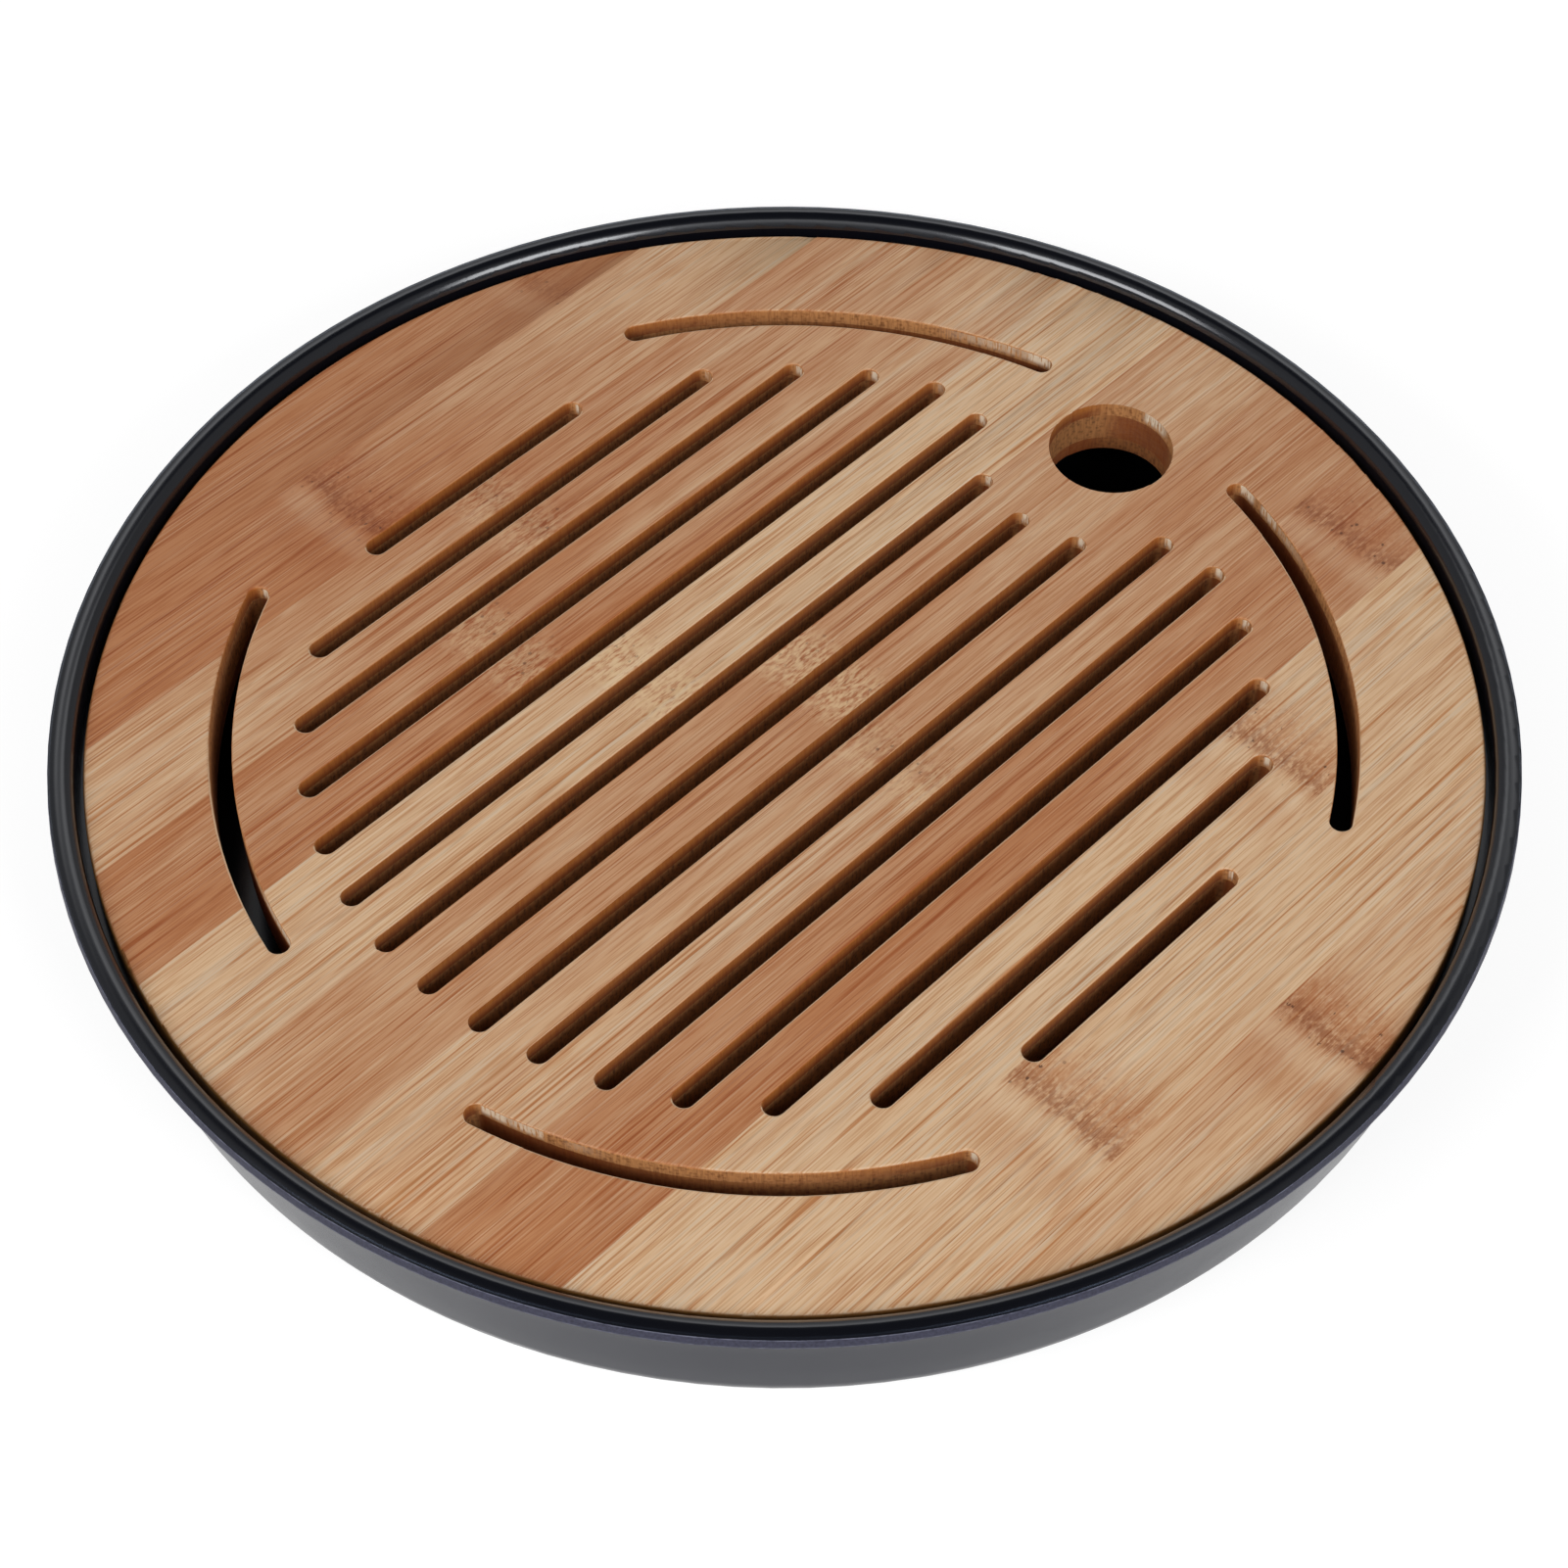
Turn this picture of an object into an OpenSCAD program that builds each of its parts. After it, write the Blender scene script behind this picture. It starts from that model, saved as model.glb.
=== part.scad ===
// Round gongfu tea tray: a three-ply bamboo draining board that lies, free to lift off,
// on the ledge of a moulded melamine basin. Millimetres, +Z up. The origin is on the
// table under the centre of the tray. The drain slots run along X and the finger hole
// is on the +X side.

/* [Tray] */
// Outside diameter over the trimmed edge of the rim
tray_d = 260; // [230:1:320]
// Height from the table to the crown of the rim
tray_h = 35.2; // [33:0.1:45]

/* [Basin] */
// Thickness of the basin floor
floor_t = 3.4; // [2.6:0.1:4.4]
// Width of the rim, from its trimmed edge to the inner wall
rim_w = 4.7; // [4.4:0.1:6]
// Radius of the bead on the inner side of the rim
bead_r = 2.5; // [1.8:0.1:2.8]
// Drop from the crown to the top of the trimmed edge
crown_drop = 0.5; // [0.3:0.1:0.9]
// Height of the trimmed edge where the mould halves met
edge_h = 1.9; // [1.4:0.1:2.4]
// How far the trimmed edge leans outwards over its height
edge_lean = 0.3; // [0.1:0.1:0.5]
// How far the lip stands out past the wall under it
lip_out = 1.7; // [1.2:0.1:2.2]
// Radius in the corner between the lip and the wall
lip_fillet = 1.2; // [0.6:0.1:1.6]
// Lean of the outer wall from upright, in degrees
wall_lean = 10.5; // [6:0.5:13]
// Radius where the outer wall turns into the base
base_round = 11; // [8:0.5:13]
// Lean of the inner wall below the ledge, in degrees
inner_lean = 6; // [3:0.5:8]
// Radius where the inner wall turns into the floor
floor_round = 8; // [5:0.5:10]
// Width of the ledge that carries the board
ledge_w = 3; // [2.5:0.1:4]
// Radius on the inner edge of the ledge
ledge_ease = 0.8; // [0.4:0.1:1.2]
// Draft of the upright wall above the ledge, over its whole height
recess_draft = 0.2; // [0.1:0.1:0.4]

/* [Underside] */
// Height of the base above the table
foot_lift = 2; // [1.6:0.1:3]
// Mean diameter of the moulded foot ring
ring_d = 196; // [180:1:210]
// Width of the foot ring
ring_w = 4; // [3:0.1:6]
// Height of the foot ring below the base
ring_h = 1.2; // [0.8:0.1:1.4]
// Diameter of a foot pad
pad_d = 16; // [10:0.5:20]
// Depth of the pocket that a foot pad is stuck into
pocket_depth = 0.4; // [0.2:0.1:0.8]
// Gap round a foot pad in its pocket
pad_gap = 0.3; // [0.1:0.1:0.5]
// Rounding of the lower edge of a foot pad
pad_ease = 0.8; // [0.3:0.1:1.2]
// Diameter of the circle that the foot pads stand on
pad_circle_d = 160; // [120:1:168]
// Number of foot pads
pad_count = 4; // [3:1:6]

/* [Board] */
// Thickness of the glued board
board_t = 12; // [10:0.1:13]
// Thickness of the upper ply
face_t = 3; // [2:0.1:3.5]
// Thickness of the lower ply
back_t = 3; // [2:0.1:3.5]
// Number of staves in the upper ply, an odd number so that one lies in the middle
stave_count = 11; // [9:2:13]
// Width of the first and the last stave, from the seam to the board's edge
end_stave_w = 19.6; // [12:0.1:24]
// Number of slats in the cross-laid core, an odd number
slat_count = 11; // [9:2:13]
// Width of the first and the last slat, from the seam to the board's edge
end_slat_w = 19.6; // [12:0.1:24]
// Drop from the crown of the rim to the top of the board
board_drop = 3; // [2.6:0.1:4]
// Gap between the board and the inner wall of the rim
board_gap = 1.3; // [0.8:0.1:2]
// Height of the rebate routed round the underside of the board
rebate_h = 7; // [6:0.1:7.5]
// Gap between the rebated edge and the basin at the foot of the rebate
rebate_gap = 0.8; // [0.4:0.1:1.5]
// Rounding of the board's upper edge
board_ease = 0.8; // [0.3:0.1:1.2]

/* [Drain slots] */
// Width of every drain slot
slot_w = 4; // [3:0.1:5]
// Number of slots to each stave, one of them on the seam
slots_per_stave = 2; // [1:1:2]
// From the board's edge to the circle through the centres of the slot ends
slot_margin = 39.1; // [36:0.1:50]
// From the board's edge to the middle of the curved slots
arc_margin = 24; // [16:0.1:28]
// Angle that a curved slot spans, between the centres of its ends
arc_span = 47; // [30:1:52]
// Angle from the X axis to the middle of a curved slot
arc_middle = 37.7; // [34:0.1:46]

/* [Finger hole] */
// Diameter of the finger hole
hole_d = 23.6; // [20:0.1:26]
// From the board's edge to the centre of the finger hole
hole_margin = 34.9; // [30:0.1:40]
// Wood left between the finger hole and the tips of the slots that it cuts short
hole_land = 12.5; // [8:0.1:16]

/* [Hidden] */
// Overlap that lets a cutter run out past a face
over = 1;

// Heights above the table
base_z = foot_lift;
floor_z = base_z + floor_t;
board_top = tray_h - board_drop;
board_bottom = board_top - board_t;
ledge_z = board_bottom + rebate_h;
core_top = board_top - face_t;
core_bottom = board_bottom + back_t;
edge_top = tray_h - crown_drop;
lip_z = edge_top - edge_h;

// Radii of the basin
tray_r = tray_d / 2;
recess_r = tray_r - rim_w;
crown_r = recess_r + bead_r;
edge_top_r = tray_r - edge_lean;
crown_run = edge_top_r - crown_r;
crown_round = (crown_run * crown_run + crown_drop * crown_drop) / (2 * crown_drop);
recess_foot_r = recess_r - recess_draft;
ledge_r = recess_foot_r - ledge_w;
function outer_r(z) = tray_r - lip_out - tan(wall_lean) * (lip_z - z);
function inner_r(z) = ledge_r - tan(inner_lean) * (ledge_z - z);
base_round_z = base_z + base_round;
base_round_r = outer_r(base_round_z) - base_round / cos(wall_lean);
floor_round_z = floor_z + floor_round;
floor_round_r = inner_r(floor_round_z) - floor_round / cos(inner_lean);
lip_fillet_z = lip_z - lip_fillet;
lip_fillet_r = outer_r(lip_fillet_z) + lip_fillet / cos(wall_lean);
ledge_ease_z = ledge_z - ledge_ease;
ledge_ease_r = inner_r(ledge_ease_z) + ledge_ease / cos(inner_lean);

// Radii of the board
board_r = recess_r - board_gap;
rebate_r = inner_r(board_bottom) - rebate_gap;
slot_field_r = board_r - slot_margin;
arc_r = board_r - arc_margin;
hole_x = board_r - hole_margin;
hole_clear_r = hole_d / 2 + hole_land + slot_w / 2;
arc_low_y = arc_r * sin(arc_middle - arc_span / 2);

// The staves and slats between the end ones share the rest of the board equally.
// The slots are counted outwards from the middle, and the lower staves lie under the upper ones.
stave_w = 2 * (board_r - end_stave_w) / (stave_count - 2);
slat_w = 2 * (board_r - end_slat_w) / (slat_count - 2);
slot_pitch = stave_w / slots_per_stave;
slots_each_side = floor((slot_field_r - slot_w / 2) / slot_pitch);
back_count = 2 * ceil((rebate_r - stave_w / 2) / stave_w) + 1;
// Seam below strip i, where count strips of width w lie about the middle of the board
function seam(i, count, w) = (i - 1 - count / 2) * w;

// Tones of bamboo, from pale to carbonised
tones = ["#d9b083", "#c99a6b", "#b98558", "#cfa274"];
function stave_tone(i) = tones[(i * 5) % len(tones)];
function two(i) = str(i < 10 ? "0" : "", i);

$fn = 96;

// Section of the rim above the lip: a round bead inside, then one long arc to the trimmed edge
module rim_section() {
    translate([recess_r, lip_z]) square([bead_r, tray_h - bead_r - lip_z]);
    intersection() {
        translate([crown_r, tray_h - bead_r]) circle(r = bead_r);
        translate([recess_r, tray_h - bead_r]) square(bead_r);
    }
    polygon([
        [crown_r, lip_z],
        [tray_r, lip_z],
        [edge_top_r, edge_top],
        [crown_r, edge_top]
    ]);
    intersection() {
        translate([crown_r, tray_h - crown_round]) circle(r = crown_round);
        translate([crown_r, edge_top]) square([crown_run + over, crown_drop]);
    }
}

// Fillet under the lip
module lip_fillet_section() {
    difference() {
        polygon([
            [outer_r(lip_fillet_z) - over, lip_fillet_z],
            [lip_fillet_r - lip_fillet * cos(wall_lean), lip_fillet_z + lip_fillet * sin(wall_lean)],
            [lip_fillet_r, lip_fillet_z],
            [lip_fillet_r, lip_z],
            [outer_r(lip_z) - over, lip_z]
        ]);
        translate([lip_fillet_r, lip_fillet_z]) circle(r = lip_fillet);
    }
}

// Outside of the basin, from the axis to the wall, below the lip
module outer_section() {
    polygon([
        [0, base_z],
        [base_round_r, base_z],
        [base_round_r + base_round * cos(wall_lean), base_round_z - base_round * sin(wall_lean)],
        [outer_r(lip_z), lip_z],
        [recess_r, lip_z],
        [recess_r, tray_h - bead_r],
        [0, tray_h - bead_r]
    ]);
    translate([base_round_r, base_round_z]) circle(r = base_round);
}

// Space inside the basin: the water well, the ledge's edge and the board's recess
module hollow_section() {
    polygon([
        [0, floor_z],
        [floor_round_r, floor_z],
        [floor_round_r + floor_round * cos(inner_lean), floor_round_z - floor_round * sin(inner_lean)],
        [ledge_r, ledge_z],
        [recess_foot_r, ledge_z],
        [recess_r, tray_h - bead_r],
        [recess_r, tray_h + over],
        [0, tray_h + over]
    ]);
    intersection() {
        translate([floor_round_r, floor_round_z]) circle(r = floor_round);
        translate([0, floor_z]) square([tray_r, floor_round]);
    }
    // Rounding of the ledge's inner edge
    difference() {
        polygon([
            [ledge_r - over, ledge_ease_z],
            [ledge_ease_r - ledge_ease * cos(inner_lean), ledge_ease_z + ledge_ease * sin(inner_lean)],
            [ledge_ease_r, ledge_ease_z],
            [ledge_ease_r, ledge_z],
            [ledge_ease_r, ledge_z + over],
            [ledge_r - over, ledge_z + over]
        ]);
        translate([ledge_ease_r, ledge_ease_z]) circle(r = ledge_ease);
    }
}

// Section of the foot ring, rounded where it faces the table
module ring_section() {
    ease = ring_h / 2;
    translate([ring_d / 2 - ring_w / 2, base_z - ring_h + ease]) square([ring_w, ring_h - ease + over]);
    translate([ring_d / 2 - ring_w / 2 + ease, base_z - ring_h]) square([ring_w - 2 * ease, ring_h]);
    for (side = [-1, 1])
        translate([ring_d / 2 + side * (ring_w / 2 - ease), base_z - ring_h + ease]) circle(r = ease);
}

// Moulded basin: rim, wall, ledge, floor and foot ring in one piece
module basin() {
    color("#17181b")
    difference() {
        rotate_extrude() {
            difference() {
                union() {
                    outer_section();
                    rim_section();
                    lip_fillet_section();
                    ring_section();
                }
                hollow_section();
            }
        }
        for (i = [1 : pad_count])
            at_pad(i)
            translate([0, 0, -over])
            cylinder(d = pad_d + 2 * pad_gap, h = base_z + pocket_depth + over);
    }
}

// Place of foot pad i, in its pocket inside the foot ring
module at_pad(i) {
    rotate(360 * (i - 0.5) / pad_count) translate([pad_circle_d / 2, 0, 0]) children();
}

// Round silicone pad, rounded where it meets the table
module foot_pad(i) {
    color("#2b2c2f")
    at_pad(i)
    rotate_extrude() {
        square([pad_d / 2 - pad_ease, base_z + pocket_depth]);
        translate([0, pad_ease]) square([pad_d / 2, base_z + pocket_depth - pad_ease]);
        translate([pad_d / 2 - pad_ease, pad_ease]) circle(r = pad_ease);
    }
}

// Centre of the right-hand end of the slot at y, cut short round the finger hole
function slot_far_x(y) = abs(y) < hole_clear_r
    ? min(slot_near_x(y), hole_x - sqrt(hole_clear_r * hole_clear_r - y * y))
    : slot_near_x(y);
function slot_near_x(y) = sqrt(slot_field_r * slot_field_r - y * y);

// Runs a cutter's outline through the whole board and out of both faces
module through_board() {
    translate([0, 0, board_bottom - over]) linear_extrude(board_t + 2 * over) children();
}

// Straight slot with round ends
module straight_slot(y) {
    through_board() {
        translate([-slot_near_x(y), y - slot_w / 2]) square([slot_near_x(y) + slot_far_x(y), slot_w]);
        for (x = [-slot_near_x(y), slot_far_x(y)])
            translate([x, y]) circle(d = slot_w);
    }
}

// Curved slot with round ends that follows the board's edge, with its middle at angle a
module curved_slot(a) {
    rotate(a - arc_span / 2)
    rotate_extrude(angle = arc_span)
    translate([arc_r - slot_w / 2, board_bottom - over]) square([slot_w, board_t + 2 * over]);
    for (end = [-1, 1])
        rotate(a + end * arc_span / 2) translate([arc_r, 0, 0]) through_board() circle(d = slot_w);
}

// Every cut that reaches the band between y_low and y_high
module board_cuts(y_low, y_high) {
    reach = slot_w / 2 + over;
    for (k = [-slots_each_side : slots_each_side])
        if (k * slot_pitch > y_low - reach && k * slot_pitch < y_high + reach)
            straight_slot(k * slot_pitch);
    if (y_high > arc_low_y - reach)
        for (a = [arc_middle, 180 - arc_middle]) curved_slot(a);
    if (y_low < reach - arc_low_y)
        for (a = [-arc_middle, arc_middle - 180]) curved_slot(a);
    if (y_low < hole_d / 2 + over && y_high > -hole_d / 2 - over)
        translate([hole_x, 0, 0]) through_board() circle(d = hole_d);
}

// The board before it is cut, as one turned blank with its rebate
module board_blank() {
    rotate_extrude() {
        translate([0, board_bottom]) square([rebate_r, board_t]);
        translate([0, ledge_z]) square([board_r, board_t - rebate_h - board_ease]);
        translate([0, ledge_z]) square([board_r - board_ease, board_t - rebate_h]);
        translate([board_r - board_ease, board_top - board_ease]) circle(r = board_ease);
    }
}

// One ply of the blank, limited to a strip as long as the board
module strip(low, high, z_low, z_high, across) {
    intersection() {
        board_blank();
        if (across)
            translate([low, -board_r - over, z_low])
            cube([high - low, 2 * (board_r + over), z_high - z_low]);
        else
            translate([-board_r - over, low, z_low])
            cube([2 * (board_r + over), high - low, z_high - z_low]);
    }
}

// Stave i of the upper ply, counted from the -Y side
module face_stave(i) {
    low = seam(i, stave_count, stave_w);
    color(stave_tone(i))
    difference() {
        strip(low, low + stave_w, core_top, board_top + over, false);
        board_cuts(low, low + stave_w);
    }
}

// Slat i of the core, which crosses the staves, counted from the -X side
module core_slat(i) {
    low = seam(i, slat_count, slat_w);
    color("#a9784a")
    difference() {
        strip(low, low + slat_w, core_bottom, core_top, true);
        board_cuts(-board_r, board_r);
    }
}

// Stave i of the lower ply, counted from the -Y side
module back_stave(i) {
    low = seam(i, back_count, stave_w);
    color(stave_tone(i + 2))
    difference() {
        strip(low, low + stave_w, board_bottom - over, core_bottom, false);
        board_cuts(low, low + stave_w);
    }
}

basin();
for (i = [1 : pad_count])
    foot_pad(i);
for (i = [1 : stave_count])
    face_stave(i);
for (i = [1 : slat_count])
    core_slat(i);
for (i = [1 : back_count])
    back_stave(i);
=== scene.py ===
import bmesh
import bpy
import math
import random
from mathutils import Matrix, Vector


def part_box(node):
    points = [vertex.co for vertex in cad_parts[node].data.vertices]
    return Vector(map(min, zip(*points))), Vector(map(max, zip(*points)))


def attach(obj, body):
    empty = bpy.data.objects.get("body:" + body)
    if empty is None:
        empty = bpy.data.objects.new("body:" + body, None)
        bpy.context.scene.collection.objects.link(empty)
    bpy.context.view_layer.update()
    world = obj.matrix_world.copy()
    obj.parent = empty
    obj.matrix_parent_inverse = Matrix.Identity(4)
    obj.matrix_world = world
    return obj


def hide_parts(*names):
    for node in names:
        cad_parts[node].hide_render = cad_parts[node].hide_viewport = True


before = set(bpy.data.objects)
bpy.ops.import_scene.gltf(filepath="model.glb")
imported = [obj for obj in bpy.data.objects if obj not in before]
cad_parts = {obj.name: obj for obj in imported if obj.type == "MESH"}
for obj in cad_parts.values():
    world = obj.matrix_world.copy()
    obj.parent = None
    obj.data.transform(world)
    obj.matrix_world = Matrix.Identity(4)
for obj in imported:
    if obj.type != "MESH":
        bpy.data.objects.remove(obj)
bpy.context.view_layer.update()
print("frame loaded,", len(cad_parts), "pieces")

# The board's own lines, read from the frame: the staves are strips between parallel seams
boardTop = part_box("face_stave_01")[1].z
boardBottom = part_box("back_stave_01")[0].z
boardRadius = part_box("face_stave_06")[1].x


# Shader maths: a wire is a socket that adds Math nodes when it is used in an expression
class Wire:
    def __init__(self, finish, socket):
        self.finish = finish
        self.socket = socket

    def maths(self, operation, first, second=None):
        values = {0: first} if second is None else {0: first, 1: second}
        return self.finish.node("ShaderNodeMath", {"operation": operation}, values)

    def __add__(self, other):
        return self.maths("ADD", self, other)

    def __radd__(self, other):
        return self.maths("ADD", other, self)

    def __sub__(self, other):
        return self.maths("SUBTRACT", self, other)

    def __rsub__(self, other):
        return self.maths("SUBTRACT", other, self)

    def __mul__(self, other):
        return self.maths("MULTIPLY", self, other)

    def __rmul__(self, other):
        return self.maths("MULTIPLY", other, self)

    def __truediv__(self, other):
        return self.maths("DIVIDE", self, other)

    def __pow__(self, other):
        return self.maths("POWER", self, other)

    def __abs__(self):
        return self.maths("ABSOLUTE", self)

    def larger(self, other):
        return self.maths("MAXIMUM", self, other)

    def smaller(self, other):
        return self.maths("MINIMUM", self, other)

    def rise(self, low, high):
        sockets = {"Value": self, "From Min": low, "From Max": high, "To Min": 0.0, "To Max": 1.0}
        return self.finish.node("ShaderNodeMapRange", {"interpolation_type": "SMOOTHSTEP"}, sockets)

    def hump(self, centre, width):
        return 1 - abs(self - centre).rise(width * 0.2, width)


# A sheet of nodes for one material or for the world, with the few kinds of node used below
class Finish:
    def __init__(self, holder, output="ShaderNodeOutputMaterial"):
        self.holder = holder
        self.holder.use_nodes = True
        self.tree = self.holder.node_tree
        self.tree.nodes.clear()
        self.output = self.tree.nodes.new(output)

    def node(self, kind, settings=None, sockets=None, out=0):
        made = self.tree.nodes.new(kind)
        for name, value in (settings or {}).items():
            if name == "stops":
                self.fillRamp(made.color_ramp, value)
            else:
                setattr(made, name, value)
        for name, value in (sockets or {}).items():
            if isinstance(value, Wire):
                self.tree.links.new(value.socket, made.inputs[name])
            else:
                made.inputs[name].default_value = value
        return Wire(self, made.outputs[out])

    def fillRamp(self, ramp, stops):
        while len(ramp.elements) < len(stops):
            ramp.elements.new(1.0)
        for element, (place, grey) in zip(ramp.elements, stops):
            element.position = place
            element.color = (grey, grey, grey, 1.0)

    def split(self, vector):
        return [self.node("ShaderNodeSeparateXYZ", {}, {0: vector}, out=axis) for axis in "XYZ"]

    def millimetres(self):
        return [part * 1000 for part in self.split(self.node("ShaderNodeTexCoord", out="Object"))]

    def facing(self):
        return self.split(self.node("ShaderNodeTexCoord", out="Normal"))

    def vector(self, x, y, z):
        return self.node("ShaderNodeCombineXYZ", {}, {0: x, 1: y, 2: z})

    def noise(self, x, y, z, detail=2.0, roughness=0.5):
        sockets = {"Vector": self.vector(x, y, z), "Scale": 1.0, "Detail": detail, "Roughness": roughness}
        return self.node("ShaderNodeTexNoise", {}, sockets)

    def cells(self, x, y, z):
        return self.node("ShaderNodeTexVoronoi", {}, {"Vector": self.vector(x, y, z), "Scale": 1.0})

    def blend(self, factor, first, second, how="MIX"):
        made = self.tree.nodes.new("ShaderNodeMix")
        made.data_type = "RGBA"
        made.blend_type = how
        for socket, value in ((0, factor), (6, first), (7, second)):
            if isinstance(value, Wire):
                self.tree.links.new(value.socket, made.inputs[socket])
            else:
                made.inputs[socket].default_value = value
        return Wire(self, made.outputs[2])

    def stain(self, factor, colour, tint):
        return self.blend(factor, colour, (*tint, 1.0), "MULTIPLY")

    def bump(self, height, strength=1.0):
        sockets = {"Strength": strength, "Distance": 0.001, "Height": height}
        return self.node("ShaderNodeBump", {}, sockets, out="Normal")

    def surface(self, shader):
        self.tree.links.new(shader.socket, self.output.inputs["Surface"])
        return self.holder


def newMaterial(name):
    return Finish(bpy.data.materials.new(name))


def srgb(red, green, blue):
    def linear(value):
        value /= 255
        return value / 12.92 if value <= 0.04045 else ((value + 0.055) / 1.055) ** 2.4
    return (linear(red), linear(green), linear(blue), 1.0)


def paint(node, material):
    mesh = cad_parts[node].data
    mesh.materials.clear()
    mesh.materials.append(material)


# Camera: the place, lens and small tilts that put the plate's circles where the photo has them
camera = {
    "target": (0, 0, boardTop),
    "azimuth": -45.67,
    "elevation": 49.77,
    "distance": 0.59652,
    "lens": 76.874,
    "sensor": 36.0,
    "pitch": -1.3481,
    "yaw": 0.0091,
    "roll": -0.1969,
}


def viewAxes():
    azimuth, elevation = math.radians(camera["azimuth"]), math.radians(camera["elevation"])
    right = Vector((math.cos(azimuth), math.sin(azimuth), 0))
    flat = math.cos(elevation)
    back = Vector((math.sin(azimuth) * flat, -math.cos(azimuth) * flat, math.sin(elevation)))
    return right, back.cross(right), back


def makeCamera():
    right, up, back = viewAxes()
    spot = Vector(camera["target"]) + back * camera["distance"]
    pitch = Matrix.Rotation(math.radians(camera["pitch"]), 3, right)
    back, up = pitch @ back, pitch @ up
    yaw = Matrix.Rotation(math.radians(camera["yaw"]), 3, up)
    right, back = yaw @ right, yaw @ back
    roll = Matrix.Rotation(math.radians(camera["roll"]), 3, back)
    right, up = roll @ right, roll @ up
    data = bpy.data.cameras.new("photoCamera")
    data.lens = camera["lens"]
    data.sensor_width = camera["sensor"]
    data.clip_start = 0.01
    made = bpy.data.objects.new("photoCamera", data)
    turn = Matrix((right, up, back)).transposed().to_4x4()
    made.matrix_world = Matrix.Translation(spot) @ turn
    bpy.context.scene.collection.objects.link(made)
    bpy.context.scene.camera = made


makeCamera()
print("camera placed")

# Light: walls that brighten half way up and end in a black ceiling, plainer at the sides, with a softbox
# in front on the left and one on the right. A box's aim from the tray is given across the view, away from
# the camera and up.
studio = {
    "boxes": [
        {"name": "softboxLeft", "aim": (-0.60, -0.50, 0.53), "size": (1.0, 0.75), "watts": 18.4},
        {"name": "softboxRight", "aim": (0.48, -0.62, 0.53), "size": (0.8, 0.75), "watts": 16.6},
    ],
    "distance": 1.95,
    "walls": [(0.0, 0.27), (0.5, 0.31), (0.71, 0.48), (0.81, 1.1),
              (0.865, 1.6), (0.885, 0.5), (0.91, 0.04), (1.0, 0.03)],
    "sideWalls": 0.3,
    "floorSize": 6.0,
    "floorColour": (0.85, 0.85, 0.85, 1.0),
    "seenFloor": (0.34, 0.34, 0.34, 1.0),
    "seenGlow": 0.79,
}


def makeLights():
    right, _, back = viewAxes()
    away = Vector((-back.x, -back.y, 0)).normalized()
    for box in studio["boxes"]:
        data = bpy.data.lights.new(box["name"], "AREA")
        data.shape = "RECTANGLE"
        data.size, data.size_y = box["size"]
        data.energy = box["watts"]
        lamp = bpy.data.objects.new(box["name"], data)
        across, beyond, up = box["aim"]
        aim = (right * across + away * beyond + Vector((0, 0, up))).normalized()
        side = Vector((0, 0, 1)).cross(aim).normalized()
        turn = Matrix((side, aim.cross(side), aim)).transposed().to_4x4()
        lamp.matrix_world = Matrix.Translation(Vector((0, 0, boardTop)) + aim * studio["distance"]) @ turn
        bpy.context.scene.collection.objects.link(lamp)


def makeRoom():
    world = bpy.data.worlds.new("whiteRoom")
    bpy.context.scene.world = world
    finish = Finish(world, "ShaderNodeOutputWorld")
    x, y, z = finish.split(finish.node("ShaderNodeTexCoord", out="Generated"))
    right, _, _ = viewAxes()
    beside = abs(x * right.x + y * right.y).rise(0.25, 0.6)
    walls = finish.node("ShaderNodeValToRGB", {"stops": studio["walls"]}, {"Fac": z * 0.5 + 0.5})
    walls = walls * (1 - beside) + beside * studio["sideWalls"]
    room = finish.node("ShaderNodeBackground", {}, {"Color": walls})
    seen = finish.node("ShaderNodeBackground", {}, {"Color": (1, 1, 1, 1)})
    isSeen = finish.node("ShaderNodeLightPath", out="Is Camera Ray")
    finish.surface(finish.node("ShaderNodeMixShader", {}, {0: isSeen, 1: room, 2: seen}))


def makeFloor():
    half = studio["floorSize"] / 2
    corners = [(-half, -half, 0), (half, -half, 0), (half, half, 0), (-half, half, 0)]
    mesh = bpy.data.meshes.new("floor")
    mesh.from_pydata(corners, [], [(0, 1, 2, 3)])
    floor = bpy.data.objects.new("floor", mesh)
    bpy.context.scene.collection.objects.link(floor)
    finish = newMaterial("paleFloor")
    lit = finish.node("ShaderNodeBsdfDiffuse", {}, {"Color": studio["floorColour"]})
    seen = finish.node("ShaderNodeBsdfDiffuse", {}, {"Color": studio["seenFloor"]})
    glow = finish.node("ShaderNodeEmission", {}, {"Strength": studio["seenGlow"]})
    white = finish.node("ShaderNodeAddShader", {}, {0: seen, 1: glow})
    rays = [finish.node("ShaderNodeLightPath", out=ray) for ray in
            ("Is Camera Ray", "Is Glossy Ray", "Is Transmission Ray")]
    isSeen = rays[0].larger(rays[1]).larger(rays[2])
    shader = finish.node("ShaderNodeMixShader", {}, {0: isSeen, 1: lit, 2: white})
    mesh.materials.append(finish.surface(shader))


makeLights()
makeRoom()
makeFloor()
print("studio lit")

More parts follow.
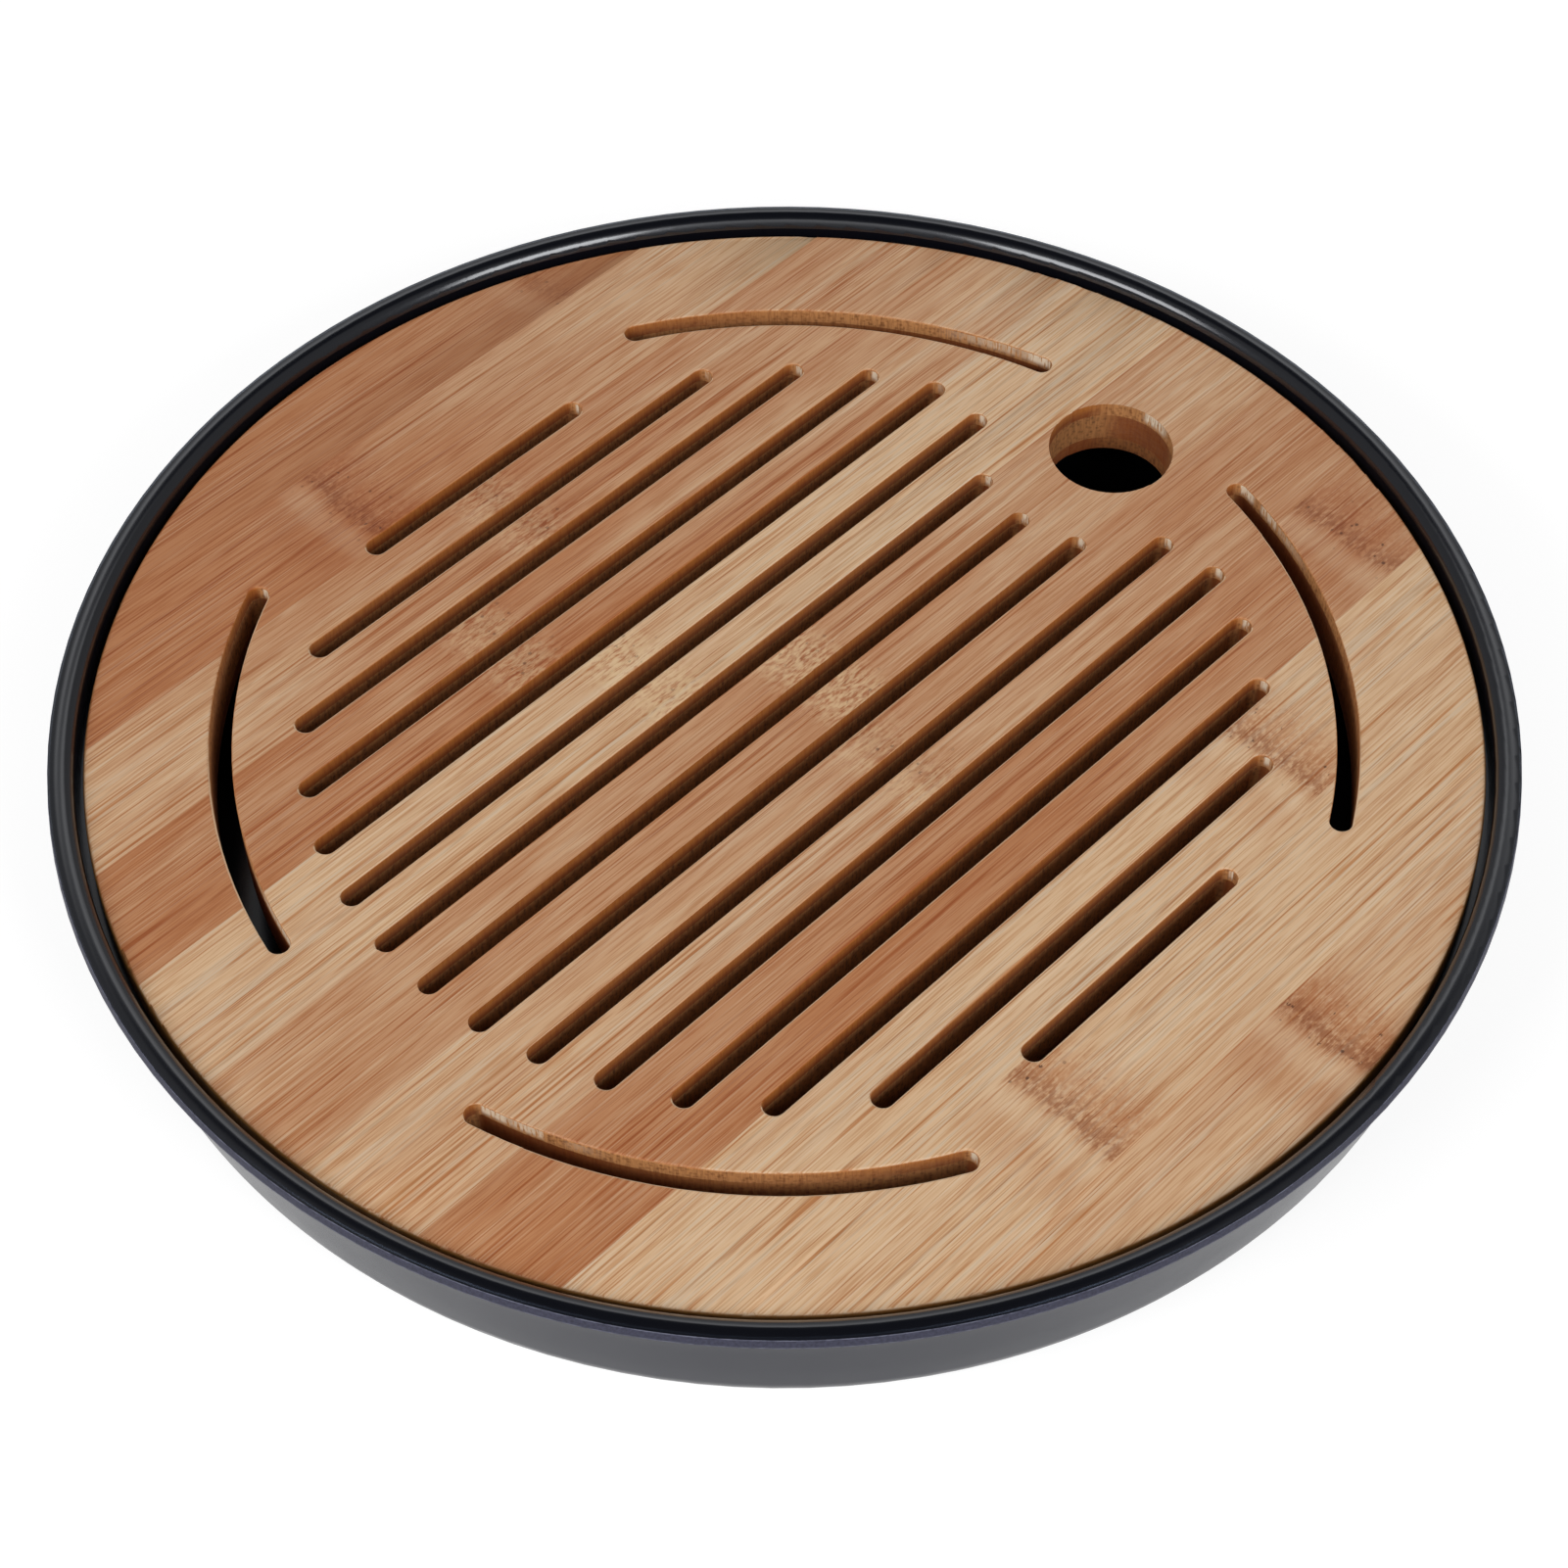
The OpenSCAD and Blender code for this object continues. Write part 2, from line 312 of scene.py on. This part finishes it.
# Black melamine, polished inside and on the crown, plainer on the wall, with the dull band where the flash
# of the moulding was trimmed off. Lengths are in millimetres.
melamine = {
    "colour": srgb(14, 14, 18),
    # Painted reflection: the outer wall's colour is bluer than the melamine, standing in for the bluish
    # light it reflects
    "wallBlueReflection": srgb(20, 21, 34),
    "sheen": (0.74, 0.83, 1.0, 1.0),
    "polish": 1.6,
    "polishRoughness": 0.16,
    "roughness": 0.24,
    "peelSize": 1.8,
    "peelDepth": 0.005,
    "trimColour": srgb(66, 66, 82),
    "trimRoughness": 0.5,
    # Painted highlight: a light bluish grey along the arrises of the trimmed band
    "arrisHighlight": srgb(128, 130, 146),
    "trimTop": 34.7,
    "trimFoot": 32.8,
    "trimRadius": 129.62,
    "crestWidth": 0.7,
    "arrisWidth": 0.3,
    "footWidth": 0.35,
    "plainShading": 100,
    "sharpEdge": 46,
}


def makeMelamine():
    finish = newMaterial("blackMelamine")
    x, y, z = finish.millimetres()
    size = melamine["peelSize"]
    radius = (x * x + y * y) ** 0.5
    turn = finish.node("ShaderNodeMath", {"operation": "ARCTAN2"}, {0: y, 1: x})
    trim = radius.rise(melamine["trimRadius"] - 0.06, melamine["trimRadius"] + 0.04) * z.rise(32, 32.3)
    nx, ny, _ = finish.facing()
    outside = ((x * nx + y * ny) / radius).rise(0.1, 0.3) * (1 - z.rise(32.5, 32.8))
    marks = finish.noise(turn * 260, z * 1.5, 0.0, detail=3.0, roughness=0.75)
    # Noise that breaks up the painted arris highlight
    arrisHighlightNoise = finish.noise(turn * 60, z * 2, 4.0, detail=4.0, roughness=0.7)
    arris = (z.hump(melamine["trimTop"], 0.22) + z.hump(melamine["trimFoot"], 0.26)).smaller(1.0) * trim
    peel = finish.noise(x / size, y / size, z / size, detail=2.0, roughness=0.45)
    dust = finish.noise(x / 14, y / 14, z / 14, detail=5.0, roughness=0.7)
    # The outer wall gets the bluer colour, a painted reflection
    colour = finish.blend(outside, melamine["colour"], melamine["wallBlueReflection"])
    colour = finish.blend(trim * (marks.rise(0.3, 0.7) * 0.6 + 0.5), colour, melamine["trimColour"])
    # Painted highlight along the top and foot arrises of the trimmed band, broken up by noise
    colour = finish.blend(arris * arrisHighlightNoise.rise(0.3, 0.6) * 0.7, colour, melamine["arrisHighlight"])
    base = melamine["roughness"]
    roughness = (dust - 0.5) * 0.12 + base
    roughness = roughness + trim * (melamine["trimRoughness"] - base) + trim * (marks - 0.5) * 0.3
    # The arrises of the trimmed band are a little round
    crestStart = melamine["trimRadius"] - melamine["crestWidth"]
    crest = (radius - crestStart).larger(0) * (1 - trim) * z.rise(33, 34)
    top = (z - (melamine["trimTop"] - melamine["arrisWidth"])).larger(0) * trim
    foot = (melamine["trimFoot"] + melamine["footWidth"] - z).larger(0) * trim
    worn = crest * crest * 0.6 + top * top * 1.4 + foot * foot * 1.0
    height = peel * melamine["peelDepth"] + trim * marks * 0.06 - worn
    sockets = {"Base Color": colour, "Roughness": roughness, "Specular IOR Level": 0.1,
               "Specular Tint": melamine["sheen"], "Coat Weight": (1 - outside) * (1 - trim),
               "Coat IOR": melamine["polish"], "Coat Roughness": melamine["polishRoughness"],
               "Coat Tint": melamine["sheen"], "Normal": finish.bump(height)}
    return finish.surface(finish.node("ShaderNodeBsdfPrincipled", {}, sockets))


# A round piece again with even shading: a corner's normal is the mean of its whole ring's, kept apart where
# the outline turns more than the sharp angle. Within the inner radius the shading stays as it is.
def evenRings(node, name, material, inner, sharp):
    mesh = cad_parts[node].data.copy()
    mesh.materials.clear()
    mesh.materials.append(material)

    def ringOf(index):
        spot = mesh.vertices[index].co
        return round(spot.xy.length * 1e5), round(spot.z * 1e5)

    def leanOf(face):
        outwards = face.normal.xy.dot(face.center.xy.normalized())
        return math.degrees(math.atan2(outwards, face.normal.z)), Vector((outwards, face.normal.z))

    rings = {}
    for face in mesh.polygons:
        for index in face.vertices:
            rings.setdefault(ringOf(index), []).append((leanOf(face), face.area))
    groups = {}
    for ring, faces in rings.items():
        faces.sort(key=lambda item: item[0][0])
        last = faces[-1][0][0] - 360
        groups[ring] = []
        for (lean, flat), area in faces:
            if not groups[ring] or lean - last > sharp:
                groups[ring].append([lean, Vector((0, 0))])
            groups[ring][-1][1] += flat * area
            last = lean
    normals = []
    for face in mesh.polygons:
        own, _ = leanOf(face)
        for corner, index in zip(face.loop_indices, face.vertices):
            spot = mesh.vertices[index].co
            if spot.xy.length < inner:
                normals.append(mesh.corner_normals[corner].vector.copy())
                continue
            ring = [total for lowest, total in groups[ringOf(index)] if lowest <= own + 1e-6]
            mean = ring[-1].normalized()
            out = spot.xy.normalized() * mean.x
            normals.append(Vector((out.x, out.y, mean.y)))
    mesh.normals_split_custom_set(normals)
    copy = bpy.data.objects.new(name, mesh)
    bpy.context.scene.collection.objects.link(copy)
    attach(copy, "tray_base")
    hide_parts(node)


plain = melamine["plainShading"] / 1000
evenRings("basin", "basinEven", makeMelamine(), plain, melamine["sharpEdge"])
print("basin finished")

# Silicone foot pads
silicone = {
    "colour": srgb(46, 47, 50),
    "bloom": srgb(60, 61, 64),
    "roughness": 0.65,
    "grainSize": 0.35,
    "grainDepth": 0.02,
}


def makeSilicone():
    finish = newMaterial("darkSilicone")
    x, y, z = finish.millimetres()
    size = silicone["grainSize"]
    grain = finish.noise(x / size, y / size, z / size)
    sockets = {"Base Color": finish.blend(grain, silicone["colour"], silicone["bloom"]),
               "Roughness": grain * 0.15 + silicone["roughness"],
               "Normal": finish.bump(grain * silicone["grainDepth"])}
    return finish.surface(finish.node("ShaderNodeBsdfPrincipled", {}, sockets))


pad = makeSilicone()
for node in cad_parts:
    if node.startswith("foot_pad"):
        paint(node, pad)
print("foot pads finished")

# Bamboo, lengths in millimetres. A stain is what the colour under it is multiplied by.
bamboo = {
    "pale": srgb(219, 184, 146),
    "dark": srgb(184, 124, 81),
    "grey": srgb(206, 184, 158),
    "line": (0.74, 0.50, 0.32),
    "streak": (0.80, 0.64, 0.50),
    "fibre": srgb(228, 202, 170),
    "knuckle": (0.50, 0.36, 0.31),
    "tail": (0.78, 0.57, 0.45),
    "blotch": srgb(226, 196, 152),
    "dot": srgb(70, 40, 28),
    # Painted highlight for the rounded slot edges facing away from the camera
    "lip": srgb(236, 206, 168),
    "scorch": srgb(172, 102, 38),
    # Darker colour for deeper down a cut wall: router scorch and painted shade
    "deepScorchAndShade": srgb(128, 66, 22),
    # Painted shade: darker brown for the board's outer edge, which lies in the rim's shadow
    "edge": srgb(128, 84, 32),
    "roughness": 0.48,
    "slotEdge": 0.4,
}

# End grain of the face, the crosswise core and the back: pale fuzz, the wood and its dark bundles.
# The face's pale fuzz is partly torn fibres and partly a painted highlight where the end grain catches
# light.
endGrain = {
    "face": (srgb(236, 218, 192), srgb(190, 134, 82), srgb(128, 80, 44)),
    "core": (srgb(190, 136, 86), srgb(172, 118, 70), srgb(112, 74, 44)),
    "back": (srgb(160, 112, 68), srgb(146, 92, 50), srgb(100, 60, 32)),
}

# tone runs from 0, pale, to 1, carbonised, at the stave's -X and +X ends, with stops between them.
# Stave 7's +X end, at -0.35, is paler than the pale colour to make up for less light at the back: painted
# light.
# A knuckle is where the cane had a joint: its place along X, how dark it is, and how pale and wavy.
staves = {
    1: {"tone": (0.12, 0.35, 0.35), "knuckles": [(10, 1.0, 0.0)]},
    2: {"tone": (0.0, 0.0, 0.0), "knuckles": [(-31, 0.9, 0.0)]},
    3: {"tone": (0.02, 0.02, 0.02), "knuckles": [(50.5, 0.9, 0.0)]},
    4: {"tone": (0.94, 0.96, 0.75), "knuckles": [(101, 0.8, 0.0)]},
    5: {"tone": (0.25, 0.55, 0.8), "knuckles": [(4, 0.35, 0.4)]},
    6: {"tone": (0.6, 0.78, 0.42), "knuckles": [(9.5, 0.15, 0.8)]},
    7: {"tone": (0.12, 0.15, -0.35), "knuckles": [(-12.6, 0.1, 0.8)]},
    8: {"tone": (0.92, 0.95, 0.3), "knuckles": [(-26, 0.3, 0.5)]},
    9: {"tone": (0.15, 0.76, 0.45), "knuckles": [(-2.5, 0.45, 0.4)]},
    10: {"tone": (1.15, 0.9, 0.02), "knuckles": [(-23, 0.8, 0.0)]},
    11: {"tone": (1.12, 1.05, 0.75), "knuckles": [(43.7, 0.45, 0.0)]},
}


def makeBamboo(name, seed, tone, knuckles, half, ply):
    finish = newMaterial(name)
    x, y, z = finish.millimetres()
    nx, ny, nz = finish.facing()
    along, side, endOn = (y, x, abs(ny)) if ply == "core" else (x, y, abs(nx))
    start = seed * 7.31

    # Fibres part a little round each joint of the cane
    lane = side
    for place, dark, pale in knuckles:
        ripple = finish.noise(along / 5, side / 4, z / 4 + start, detail=1.0) - 0.5
        lane = lane + ripple * along.hump(place, 12) * (0.4 * dark + 1.0 * pale)

    def fibres(length, width, offset, detail=2.0):
        return finish.noise(along / length + offset, lane / width + start, z / width + offset, detail)

    stripes = fibres(190, 5.0, 3.1, 1.0)
    bands = fibres(110, 1.1, 11.7)
    dashes = fibres(9, 0.28, 37.3, 1.0)
    bright = fibres(60, 0.36, 53.7)
    cloud = finish.noise(along / 26, side / 9, z / 9 + start * 3, 3.0)
    # Thin long lines lie where a slow wave across the grain passes its middle, and they come and go
    wave = fibres(420, 1.3, 71.3, 1.0)
    thin = 1 - abs(wave - 0.5).rise(0.01, 0.045)
    lines = thin * fibres(24, 0.9, 23.9).rise(0.36, 0.6)

    slide = along / half
    toned = (slide * -1).larger(0) * (tone[0] - tone[1]) + slide.larger(0) * (tone[2] - tone[1]) + tone[1]
    toned = toned + (stripes - 0.5) * 0.8 + (cloud - 0.5) * 0.6
    colour = finish.blend(toned.larger(-0.25).smaller(1.3), bamboo["pale"], bamboo["dark"])
    greyed = (1 - bands.rise(0.36, 0.5)) * (1 - toned.rise(0.1, 0.8)) * 0.6
    colour = finish.blend(greyed, colour, bamboo["grey"])
    colour = finish.stain(bands.rise(0.5, 0.7) * 0.4, colour, bamboo["streak"])
    colour = finish.stain(dashes.rise(0.46, 0.64) * 0.75, colour, bamboo["streak"])
    colour = finish.stain(lines, colour, bamboo["line"])
    pales = bright.rise(0.54, 0.68) * (0.46 - toned.rise(0, 1) * 0.26)
    colour = finish.blend(pales, colour, bamboo["fibre"])

    # Joints of the cane: a dark line and a mottled stain that fray out along the grain, with pores, or a
    # pale patch of short fibres
    for place, dark, pale in knuckles:
        bend = finish.noise(side / 8, start, 0.0, detail=2.0) - 0.5
        fray = finish.noise(along / 9, lane / 0.4 + start, 5.0, detail=1.0) - 0.5
        reach = along - place + bend * 5
        ragged = reach + fray * 3.5
        line = ragged.rise(-1.6, 0.4) * (1 - ragged.rise(0.8, 6))
        tail = (reach + fray * 9).rise(-4, 1) * (1 - (reach + fray * 16).rise(5, 17))
        smear = (reach + fray * 12).hump(-10, 7)
        mottle = finish.noise(along / 1.5, lane / 0.7, start, 2.0, 0.6)
        colour = finish.stain(tail * (mottle.rise(0.3, 0.6) * 0.6 + 0.4) * dark, colour, bamboo["tail"])
        colour = finish.stain(smear * (0.35 * dark), colour, bamboo["tail"])
        line = line * (mottle.rise(0.34, 0.6) * 0.55 + 0.05)
        colour = finish.stain(line * dark, colour, bamboo["knuckle"])
        colour = finish.blend(reach.hump(-4.5, 4) * (0.12 * dark), colour, bamboo["fibre"])
        if pale:
            near = along.hump(place, 11)
            shred = finish.noise(along / 1.9, lane / 0.55, start + 9, 2.0, 0.6)
            colour = finish.blend(near * shred.rise(0.4, 0.64) * pale * 0.75, colour, bamboo["blotch"])
            colour = finish.stain((1 - shred.rise(0.36, 0.46)) * near * pale * 0.8, colour, bamboo["tail"])
        pores = finish.cells(along / 2.4, side / 2.2, start + place)
        pore = (1 - pores.rise(0.1, 0.2)) * reach.hump(3, 9) * mottle.rise(0.44, 0.5)
        colour = finish.blend(pore * (0.35 + 0.45 * dark), colour, bamboo["dot"])

    # Cut faces: the router scorches them, and they are painted darker further down as painted shade; end
    # grain shows the bundles as dots under a torn fuzz, paler near the top of the face ply as a painted
    # highlight
    depth = boardTop * 1000 - z
    wall = 1 - abs(nz).rise(0.35, 0.85)
    torn = finish.noise(x / 0.45, y / 0.45, z / 3.5, 3.0, 0.6)
    # Walls darken from the top down to 2.6 mm deep: scorch plus painted shade of the slot
    scorchedAndShaded = finish.blend(depth.rise(0.2, 2.6), bamboo["scorch"], bamboo["deepScorchAndShade"])
    scorchedAndShaded = finish.stain(torn.rise(0.4, 0.65) * 0.6, scorchedAndShaded, bamboo["line"])
    colour = finish.blend(wall * 0.94, colour, scorchedAndShaded)
    fuzz, wood, bundle = endGrain[ply]
    bundles = finish.cells(side / 0.8, z / 0.8, along * 0.3 + start)
    ends = finish.blend((1 - bundles.rise(0.2, 0.55)) * 0.5 + torn.rise(0.4, 0.66) * 0.5, wood, bundle)
    patches = finish.noise(x / 9, y / 9, start, 2.0).rise(0.38, 0.52)
    # Pale fuzz on end grain near the top: torn fibres and a painted highlight
    fuzzAndHighlight = patches * torn.rise(0.36, 0.5) * endOn.rise(0.88, 0.98) * (1 - depth.rise(1.5, 3))
    ends = finish.blend(fuzzAndHighlight, ends, fuzz)
    colour = finish.blend(wall * endOn.rise(0.4, 0.85) * 0.94, colour, ends)
    radius = (x * x + y * y) ** 0.5
    rim = boardRadius * 1000
    # The board's outer edge darkens to the edge colour: painted shade from the rim
    colour = finish.blend(radius.rise(rim - 0.45, rim - 0.1) * 0.9, colour, bamboo["edge"])
    # Painted highlight: a pale line on the rounded slot edges that face +X and +Y, away from the camera
    slope = (1 - abs(nz)).rise(0.02, 0.14) * (1 - radius.rise(rim - 2, rim - 1.5))
    slope = slope * (1 - depth.rise(0.45, 0.6))
    colour = finish.blend(slope * (nx + ny).rise(0.04, 0.2) * 0.75, colour, bamboo["lip"])

    height = lines * -0.012 + dashes * 0.015 + bands * 0.012 + wall * torn * 0.12
    roughness = (dashes - 0.5) * 0.25 + bamboo["roughness"] + wall * 0.25
    sockets = {"Base Color": colour, "Roughness": roughness, "Specular IOR Level": 0.35,
               "Normal": finish.bump(height, 0.6)}
    return finish.surface(finish.node("ShaderNodeBsdfPrincipled", {}, sockets))


# A stave with the sharp edges of its slots rubbed down. The seams stay tight, so they are left out.
def rubDown(node, name, height, material):
    low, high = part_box(node)
    shape = bmesh.new()
    shape.from_mesh(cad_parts[node].data)
    bmesh.ops.remove_doubles(shape, verts=shape.verts, dist=1e-6)
    bmesh.ops.dissolve_limit(shape, angle_limit=0.0005, verts=shape.verts, edges=shape.edges)
    near = 2e-5
    onFace = [vert for vert in shape.verts if abs(vert.co.z - height) < near]
    reach = max(vert.co.xy.length for vert in onFace)

    def isRouted(edge):
        ends = [vert.co for vert in edge.verts]
        if any(abs(co.z - height) > near for co in ends) or edge.calc_face_angle(0.0) < 0.5:
            return False
        if all(co.xy.length > reach - 1e-4 for co in ends):
            return False
        return not any(all(abs(co.y - seam) < near for co in ends) for seam in (low.y, high.y))

    routed = [edge for edge in shape.edges if isRouted(edge)]
    made = bmesh.ops.bevel(shape, geom=routed, offset=bamboo["slotEdge"] / 1000, offset_type="OFFSET",
                           segments=3, profile=0.5, affect="EDGES", clamp_overlap=True)
    rounded = set(made["faces"])
    for face in shape.faces:
        face.smooth = True
    for edge in shape.edges:
        sides = [face in rounded for face in edge.link_faces]
        edge.smooth = all(sides) or (not any(sides) and edge.calc_face_angle(0.0) < 0.6)
    mesh = bpy.data.meshes.new(name)
    shape.to_mesh(mesh)
    shape.free()
    mesh.materials.append(material)
    stave = bpy.data.objects.new(name, mesh)
    bpy.context.scene.collection.objects.link(stave)
    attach(stave, "draining_board")
    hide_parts(node)


rng = random.Random(26)
for number, stave in staves.items():
    node = f"face_stave_{number:02d}"
    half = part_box(node)[1].x * 1000
    made = makeBamboo(f"bambooFace{number:02d}", number, stave["tone"], stave["knuckles"], half, "face")
    rubDown(node, f"faceStave{number:02d}", boardTop, made)

    node = f"back_stave_{number:02d}"
    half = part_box(node)[1].x * 1000
    tone = [rng.uniform(0, 1) for _ in range(3)]
    joints = [(rng.uniform(-70, 70), rng.uniform(0.4, 1.0), 0.0)]
    made = makeBamboo(f"bambooBack{number:02d}", number + 20, tone, joints, half, "back")
    rubDown(node, f"backStave{number:02d}", boardBottom, made)

    node = f"core_slat_{number:02d}"
    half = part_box(node)[1].y * 1000
    tone = [rng.uniform(0.4, 1) for _ in range(3)]
    paint(node, makeBamboo(f"bambooCore{number:02d}", number + 40, tone, [], half, "core"))
print("bamboo finished")

view = bpy.context.scene.view_settings
view.view_transform = "Standard"
